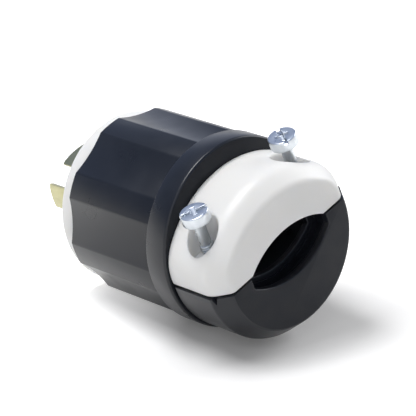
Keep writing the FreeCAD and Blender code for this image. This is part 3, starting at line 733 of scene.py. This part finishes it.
def build_trough():
    """Model the lower clamp half: a turned end that is cut off at the parting plane."""
    edge = size("edge_round")
    radius = size("clamp_radius")
    floor = radius - size("seam_depth")
    end = size("clamp_length")
    cone = end - size("clamp_cone")
    top = size("parting_height")
    trough = turned("trough", softened([
        (floor, -BEYOND, 0),
        (floor, -SUNK, 0),
        (floor, size("seam_width"), 0),
        (radius, size("seam_width"), edge),
        (radius, cone, size("clamp_bend")),
        (size("clamp_end_radius"), end, size("clamp_rim")),
        (0, end, 0),
    ]))
    edit_all(trough)
    bpy.ops.mesh.bisect(plane_co=(0, top, 0), plane_no=(0, 1, 0), use_fill=True, clear_outer=True)
    bpy.ops.mesh.select_all(action="SELECT")
    bpy.ops.mesh.normals_make_consistent(inside=False)
    bpy.ops.object.mode_set(mode="OBJECT")
    round_chosen(trough, edge, lambda place: place.y > top - TOUCH and place.z > size("seam_width") - TOUCH)
    cut_opening(trough)
    cut_screw_holes(trough)
    notch = size("pry_notch")
    for side in (-1, 1):
        outside = side * (radius + BEYOND)
        inside = side * (radius - size("pry_notch_reach"))
        low = (min(outside, inside), top - notch, cone)
        high = (max(outside, inside), top + BEYOND, cone + notch)
        wedge = block("notch", low, high)
        taper(wedge, 1, (1, 1, NOTCH_TAPER))
        cut(trough, wedge)
    for side in (-1, 1):
        across = side * size("screw_spacing") / 2
        half = size("nut_trap") / 2
        low = (across - half, top - size("nut_trap_depth"), size("screw_place") - half)
        high = (across + half, top + BEYOND, size("screw_place") + half)
        cut(trough, block("nut_trap", low, high))
    smooth(trough)
    return trough


def build_housing():
    """Model the grip, the collar and the lower clamp half, which are one moulding."""
    housing = join(build_grip(), build_collar(), build_trough())
    housing.name = "housing_moulding"
    lay_down(housing)
    dress(housing, polished_black_nylon, "plug_body", "housing")
    # Faces that look towards the cord get the duller copy of the black nylon: painted shade on the collar's
    # rear face and the clamp's end.
    housing.data.materials.append(finish(spark_eroded_black_nylon))
    for face in housing.data.polygons:
        face.material_index = int(face.normal.y < FLAT_END)


def jaw_arcs(inset):
    """Give the middles and radii of the jaw's arcs: shoulders (out, up, radius), then crown (up, radius)."""
    crown = size("jaw_crown_bow") - inset
    shoulder = size("jaw_shoulder_bow") - inset
    shoulder_out = size("jaw_half_width") - size("jaw_shoulder_bow")
    crown_up = size("jaw_crown_height") - size("jaw_crown_bow")
    shoulder_up = crown_up + math.sqrt((crown - shoulder) ** 2 - shoulder_out ** 2)
    return shoulder_out, shoulder_up, shoulder, crown_up, crown


def jaw_points(inset, lift):
    """Give the jaw's outline: upright flanks, rounded shoulders and a broad crown."""
    shoulder_out, shoulder_up, shoulder, crown_up, crown = jaw_arcs(inset)
    base = size("parting_height") + size("parting_gap") + lift
    corner = size("edge_round")
    side = shoulder_out + shoulder
    ratio = crown / (crown - shoulder)
    meet = (shoulder_out * ratio, crown_up + (shoulder_up - crown_up) * ratio)
    points = arc_points((-side, base + corner), (corner - side, base), corner, steps=RIM_STEPS)
    points += [(corner - side, base)]
    points += arc_points((side - corner, base), (side, base + corner), corner, steps=RIM_STEPS)
    points += [(side, base + corner)]
    points += arc_points((side, shoulder_up), meet, shoulder)
    points += arc_points(meet, (-meet[0], meet[1]), crown, steps=CROWN_STEPS)
    points += arc_points((-meet[0], meet[1]), (-side, shoulder_up), shoulder)
    return points + [(-side, shoulder_up)]


def crown_height(across, inset):
    """Give the height of the jaw's top at a distance from its middle."""
    shoulder_out, shoulder_up, shoulder, crown_up, crown = jaw_arcs(inset)
    if abs(across) < shoulder_out * crown / (crown - shoulder):
        return crown_up + math.sqrt(crown ** 2 - across ** 2)
    return shoulder_up + math.sqrt(shoulder ** 2 - (abs(across) - shoulder_out) ** 2)


def inset_at(profile, along):
    """Give how far the jaw is drawn in at a place along the plug."""
    for (inset, height), (next_inset, next_height) in zip(profile, profile[1:]):
        if along <= next_height:
            return inset + (next_inset - inset) * (along - height) / (next_height - height)
    return profile[-1][0]


def pocket_cutter(across, profile):
    """Model a screw pocket's cutter, whose rounded mouth follows the jaw's top.

    Its rings are measured from the jaw's top, apart from the lowest, which lies on the pocket's floor, and
    the highest, which lies above the whole jaw.
    """
    radius = size("pocket_radius")
    rim = size("pocket_rim")
    rings = [(radius, -2 * rim), (radius, -rim)]
    for step in range(1, RIM_STEPS + 1):
        turn = math.pi / 2 * step / RIM_STEPS
        rings.append((radius + rim * (1 - math.cos(turn)), rim * (math.sin(turn) - 1)))
    rings.append((radius + rim, rim))
    cutter = turned("pocket", rings, steps=FINE_STEPS)
    for vertex in cutter.data.vertices:
        x = across + vertex.co.x
        along = size("screw_place") - vertex.co.y
        up = crown_height(x, inset_at(profile, along)) + vertex.co.z
        if vertex.co.z < -rim - TOUCH:
            up = size("pocket_floor")
        if vertex.co.z > TOUCH:
            up = size("jaw_crown_height") + rim
        vertex.co = (x, up, along)
    return cutter


def build_jaw():
    """Model the white jaw: its outline is drawn out, drawn in at the cord end and rounded over."""
    start = size("jaw_gap")
    end = size("clamp_length")
    edge = size("edge_round")
    profile = softened([
        (size("jaw_inset"), start, 0),
        (0, start, edge),
        (0, end - size("clamp_cone"), size("jaw_bend")),
        (size("jaw_inset"), end, size("jaw_brow")),
        (2 * size("jaw_inset"), end, 0),
    ])
    rings = []
    for inset, height in profile:
        sunk = min(max(0, edge - min(height - start, end - height)), edge)
        rings.append(((inset, edge - math.sqrt(edge ** 2 - sunk ** 2)), height))
    jaw = grown("clamp_jaw_moulding", jaw_points, rings)
    cut_opening(jaw)
    cut_screw_holes(jaw)
    for side in (-1, 1):
        cut(jaw, pocket_cutter(side * size("screw_spacing") / 2, profile))
    smooth(jaw)
    apply_modifier(jaw, "WEIGHTED_NORMAL", keep_sharp=True)
    lay_down(jaw)
    dress(jaw, moulded_white_nylon, "jaw", "clamp_jaw")


def round_chosen(piece, width, chosen):
    """Round the edges that lie where a test says, leaving out those that stand upright."""
    clear_selection(piece, "EDGE")
    for edge in piece.data.edges:
        first, last = (piece.data.vertices[index].co for index in edge.vertices)
        level = math.hypot(first.x - last.x, first.z - last.z) > TOUCH
        edge.select = level and chosen(first) and chosen(last)
    bpy.ops.object.mode_set(mode="EDIT")
    bpy.ops.mesh.bevel(offset=width, segments=3, affect="EDGES", clamp_overlap=True)
    bpy.ops.object.mode_set(mode="OBJECT")


def add_thread(root, low, high):
    """Model a helical thread ridge between two heights."""
    pitch = size("thread_pitch")
    inside = root - size("thread_root")
    wide = pitch * THREAD_SHARE
    deselect()
    bpy.ops.mesh.primitive_circle_add(vertices=3, radius=1, fill_type="NOTHING", location=(0, 0, 0))
    ridge = bpy.context.object
    corners = ((inside, 0, low), (size("thread_radius"), 0, low + wide / 2), (inside, 0, low + wide))
    for vertex, corner in zip(ridge.data.vertices, corners):
        vertex.co = corner
    apply_modifier(
        ridge, "SCREW", axis="Z", screw_offset=pitch, iterations=int((high - low) / pitch) - 1,
        steps=THREAD_STEPS, render_steps=THREAD_STEPS, use_smooth_shade=True
    )
    edit_all(ridge)
    bpy.ops.mesh.fill_holes(sides=3)
    bpy.ops.mesh.normals_make_consistent(inside=False)
    bpy.ops.object.mode_set(mode="OBJECT")
    return ridge


def cut_drive(screw):
    """Cut the slot and the tapered cross recess into a clamp screw's head."""
    tall = size("head_height")
    over = size("head_radius") + BEYOND
    half = size("slot_width") / 2
    cut(screw, block("slot", (-over, -half, tall - size("slot_depth")), (over, half, tall + BEYOND)))
    reach = size("cross_reach")
    half = size("cross_width") / 2
    for turn in (0, 90):
        low = (-reach, -half, tall - size("cross_depth"))
        recess = block("recess", low, (reach, half, tall + BEYOND / 2))
        taper(recess, 2, (*CROSS_TAPER, 1))
        recess.data.transform(Matrix.Rotation(math.radians(turn), 4, "Z"))
        cut(screw, recess)


def build_clamp_screw(side_name, sign):
    """Model a screw with a round head, a slot, a cross recess and a cut thread."""
    head = size("head_radius")
    under = size("head_under")
    neck = size("neck_radius")
    fillet = size("neck_fillet")
    root = size("thread_radius") - size("thread_depth")
    end = -size("screw_length")
    start = -size("neck_length")
    screw = turned("clamp_screw_" + side_name + "_finished", [
        (root * TIP_SHARE, end),
        (root, end + size("screw_tip")),
        (root, start - fillet),
        (neck, start),
        (neck, -fillet),
        (neck + fillet / 3, -fillet / 3),
        (neck + fillet, 0),
        (head - under, 0),
        (head - under / 4, under / 5),
        (head, under * 3 / 4),
    ] + rounded_corner(head, size("head_height"), size("head_round")), steps=FINE_STEPS)
    cut_drive(screw)
    round_edges(screw, size("screw_edge"), sharper_than=40)
    join(screw, add_thread(root, end + size("thread_start"), start + size("thread_runout")))
    turn = Matrix.Rotation(-math.pi / 2, 4, "X")
    turn = turn @ Matrix.Rotation(math.radians(SLOT_TURNS[side_name]), 4, "Z")
    across = sign * size("screw_spacing") / 2
    place = Matrix.Translation((across, size("screw_seat"), size("screw_place")))
    screw.data.transform(place @ turn)
    lay_down(screw)
    dress(screw, bright_zinc_plate, "screw_" + side_name, "clamp_screw_" + side_name)


def finished_copy(node, width, mixer):
    """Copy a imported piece, round its edges and finish it."""
    deselect()
    source = frame["nodes"][node]
    source.select_set(True)
    bpy.context.view_layer.objects.active = source
    bpy.ops.object.duplicate()
    piece = bpy.context.object
    piece.name = node + "_finished"
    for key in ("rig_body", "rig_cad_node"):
        if key in piece:
            del piece[key]
    body = source["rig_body"]
    piece.parent = None
    piece.data.transform(Matrix.Scale(1 / MM, 4))
    edit_all(piece)
    close_shell(TOUCH)
    bpy.ops.mesh.customdata_custom_splitnormals_clear()
    round_edges(piece, width)
    piece.data.transform(Matrix.Scale(MM, 4))
    dress(piece, mixer, body, node)


class PLUG_OT_housing(bpy.types.Operator):
    """Model the black grip, collar and lower clamp half"""

    bl_idname = "plug.add_housing"
    bl_label = "Add Housing"

    def execute(self, context):
        build_housing()
        return {"FINISHED"}


class PLUG_OT_clamp_jaw(bpy.types.Operator):
    """Model the white clamp jaw"""

    bl_idname = "plug.add_clamp_jaw"
    bl_label = "Add Clamp Jaw"

    def execute(self, context):
        build_jaw()
        return {"FINISHED"}


class PLUG_OT_clamp_screws(bpy.types.Operator):
    """Model the two clamp screws"""

    bl_idname = "plug.add_clamp_screws"
    bl_label = "Add Clamp Screws"

    def execute(self, context):
        build_clamp_screw("left", -1)
        build_clamp_screw("right", 1)
        return {"FINISHED"}


class PLUG_OT_front_face(bpy.types.Operator):
    """Finish the white front face and its assembly screws"""

    bl_idname = "plug.add_front_face"
    bl_label = "Add Front Face"

    def execute(self, context):
        finished_copy("front_face", size("face_edge"), moulded_white_nylon)
        for name in ("assembly_screw_upper", "assembly_screw_lower"):
            finished_copy(name, size("plate_edge"), bright_zinc_plate)
        return {"FINISHED"}


class PLUG_OT_blades(bpy.types.Operator):
    """Finish the four curved blades"""

    bl_idname = "plug.add_blades"
    bl_label = "Add Blades"

    def execute(self, context):
        for name in sorted(frame["nodes"]):
            if "_blade" in name:
                finished_copy(name, size("blade_edge"), nickel_washed_brass)
        return {"FINISHED"}


class PLUG_OT_inner_pieces(bpy.types.Operator):
    """Finish the terminal carrier, the terminals and the nuts inside the plug"""

    bl_idname = "plug.add_inner_pieces"
    bl_label = "Add Inner Pieces"

    def execute(self, context):
        finished_copy("terminal_carrier", size("blade_edge"), filled_thermoset)
        for name in sorted(frame["nodes"]):
            if "_plate" in name or "clamp_nut" in name:
                finished_copy(name, size("plate_edge"), bright_zinc_plate)
            if "terminal_screw" in name:
                finished_copy(name, size("terminal_edge"), turned_brass)
        return {"FINISHED"}


def add_camera():
    """Place the camera at the photograph's viewing angle."""
    turn = [math.radians(angle) for angle in CAMERA_TURN]
    bpy.ops.object.camera_add(location=CAMERA_PLACE, rotation=turn)
    camera = bpy.context.object
    camera.name = "photo_camera"
    camera.data.lens = CAMERA_LENS
    camera.data.sensor_width = CAMERA_SENSOR
    camera.data.clip_start, camera.data.clip_end = CAMERA_CLIP
    bpy.context.scene.camera = camera


def add_softbox(name, place, side, watts):
    """Add a square softbox that faces the middle of the plug."""
    way = Vector(SOFTBOX_AIM) - Vector(place)
    bpy.ops.object.light_add(type="AREA", location=place, rotation=way.to_track_quat("-Z", "Y").to_euler())
    lamp = bpy.context.object
    lamp.name = name
    lamp.data.shape = "SQUARE"
    lamp.data.size = side
    lamp.data.energy = watts
    lamp.visible_camera = False


def seen_rays(tree, path):
    """Give 1 for rays that the camera, a mirroring face or a clear one sends out, and 0 for others."""
    seen = path.outputs["Is Camera Ray"]
    for kind in ("Is Glossy Ray", "Is Transmission Ray"):
        either = {0: seen, 1: path.outputs[kind]}
        seen = add_node(tree, "ShaderNodeMath", links=either, operation="MAXIMUM").outputs[0]
    return seen


def white_paper_floor(name):
    """Matt white paper with the plug's shadow, whose own glow turns it pure white away from the plug."""
    material, tree, shader, place = new_material(name)
    shader.inputs["Base Color"].default_value = colour("floor")
    shader.inputs["Roughness"].default_value = 0.9
    shader.inputs["Specular IOR Level"].default_value = 0.0
    away = add_node(tree, "ShaderNodeVectorMath", {1: FLOOR_CENTRE}, {0: place}, operation="DISTANCE")
    spread = dict(zip(("From Min", "From Max", "To Min", "To Max"), FLOOR_FADE + FLOOR_GLOW))
    fade = add_node(tree, "ShaderNodeMapRange", spread, {"Value": away.outputs["Value"]})
    seen = seen_rays(tree, add_node(tree, "ShaderNodeLightPath"))
    both = {0: seen, 1: fade.outputs["Result"]}
    strength = add_node(tree, "ShaderNodeMath", links=both, operation="MULTIPLY")
    glow = add_node(tree, "ShaderNodeEmission", links={"Strength": strength.outputs[0]})
    paper = add_node(tree, "ShaderNodeAddShader", links={0: shader.outputs[0], 1: glow.outputs[0]})
    feed(tree, tree.nodes["Material Output"], {"Surface": paper.outputs[0]})
    return material


def add_floor():
    """Lay a pale floor that touches the collar and the two lowest ridges of the grip."""
    collar = size("collar_radius") * MM
    ridge = size("ridge_radius") * math.cos(math.pi / FLUTES) * MM
    run = (size("skirt_reach") - size("collar_length")) * MM
    slope = math.atan((collar - ridge) / run)
    touch = Vector((0, HOUSING_HIGH.y - run, -collar))
    bpy.ops.mesh.primitive_plane_add(size=FLOOR_SIDE, location=touch, rotation=(slope, 0, 0))
    floor = bpy.context.object
    floor.name = "floor"
    floor.data.materials.append(finish(white_paper_floor))


def light_world():
    """Fill the room with white. Glossy faces see white at the horizon and the bluish room above it."""
    world = bpy.data.worlds.new("white_room")
    bpy.context.scene.world = world
    world.use_nodes = True
    tree = world.node_tree
    path = add_node(tree, "ShaderNodeLightPath")
    direction = add_node(tree, "ShaderNodeTexCoord").outputs["Generated"]
    up = add_node(tree, "ShaderNodeSeparateXYZ", links={0: direction}).outputs["Z"]
    rise = {"From Min": HORIZON[0], "From Max": HORIZON[1]}
    above = add_node(tree, "ShaderNodeMapRange", rise, {"Value": up})
    both = {0: above.outputs["Result"], 1: path.outputs["Is Glossy Ray"]}
    mirrored = add_node(tree, "ShaderNodeMath", links=both, operation="MULTIPLY")
    shades = {6: linear("#ffffff"), 7: colour("room")}
    shade = add_node(tree, "ShaderNodeMix", shades, {0: mirrored.outputs[0]}, data_type="RGBA")
    reach = {"To Min": ROOM_LIGHT, "To Max": 1.0}
    lit = add_node(tree, "ShaderNodeMapRange", reach, {"Value": seen_rays(tree, path)})
    feed(tree, tree.nodes["Background"], {"Color": shade.outputs[2], "Strength": lit.outputs["Result"]})


class PLUG_OT_stage(bpy.types.Operator):
    """Set the camera, the softboxes, the world and the floor"""

    bl_idname = "plug.add_stage"
    bl_label = "Add Stage"

    def execute(self, context):
        deselect()
        add_camera()
        for name, place, side, watts in SOFTBOXES:
            add_softbox(name, place, side, watts)
        add_floor()
        light_world()
        context.scene.view_settings.view_transform = "Standard"
        return {"FINISHED"}


class PLUG_PT_panel(bpy.types.Panel):
    """Lists the plug's pieces"""

    bl_idname = "PLUG_PT_panel"
    bl_label = "Locking Power Plug"
    bl_space_type = "VIEW_3D"
    bl_region_type = "UI"
    bl_category = "Plug"

    def draw(self, context):
        for operator in OPERATORS:
            self.layout.operator(operator.bl_idname)


OPERATORS = (
    PLUG_OT_housing,
    PLUG_OT_clamp_jaw,
    PLUG_OT_clamp_screws,
    PLUG_OT_front_face,
    PLUG_OT_blades,
    PLUG_OT_inner_pieces,
    PLUG_OT_stage,
)
CLASSES = (PlugSizes, PlugColours, *OPERATORS, PLUG_PT_panel)


def register():
    for group in CLASSES:
        bpy.utils.register_class(group)
    bpy.types.Scene.plug_sizes = bpy.props.PointerProperty(type=PlugSizes)
    bpy.types.Scene.plug_colours = bpy.props.PointerProperty(type=PlugColours)


def unregister():
    del bpy.types.Scene.plug_colours
    del bpy.types.Scene.plug_sizes
    for group in reversed(CLASSES):
        bpy.utils.unregister_class(group)


def main():
    """Make the plug and its stage."""
    register()
    bpy.ops.plug.add_housing()
    bpy.ops.plug.add_clamp_jaw()
    bpy.ops.plug.add_clamp_screws()
    bpy.ops.plug.add_front_face()
    bpy.ops.plug.add_blades()
    bpy.ops.plug.add_inner_pieces()
    bpy.ops.plug.add_stage()


if __name__ == "__main__":
    main()
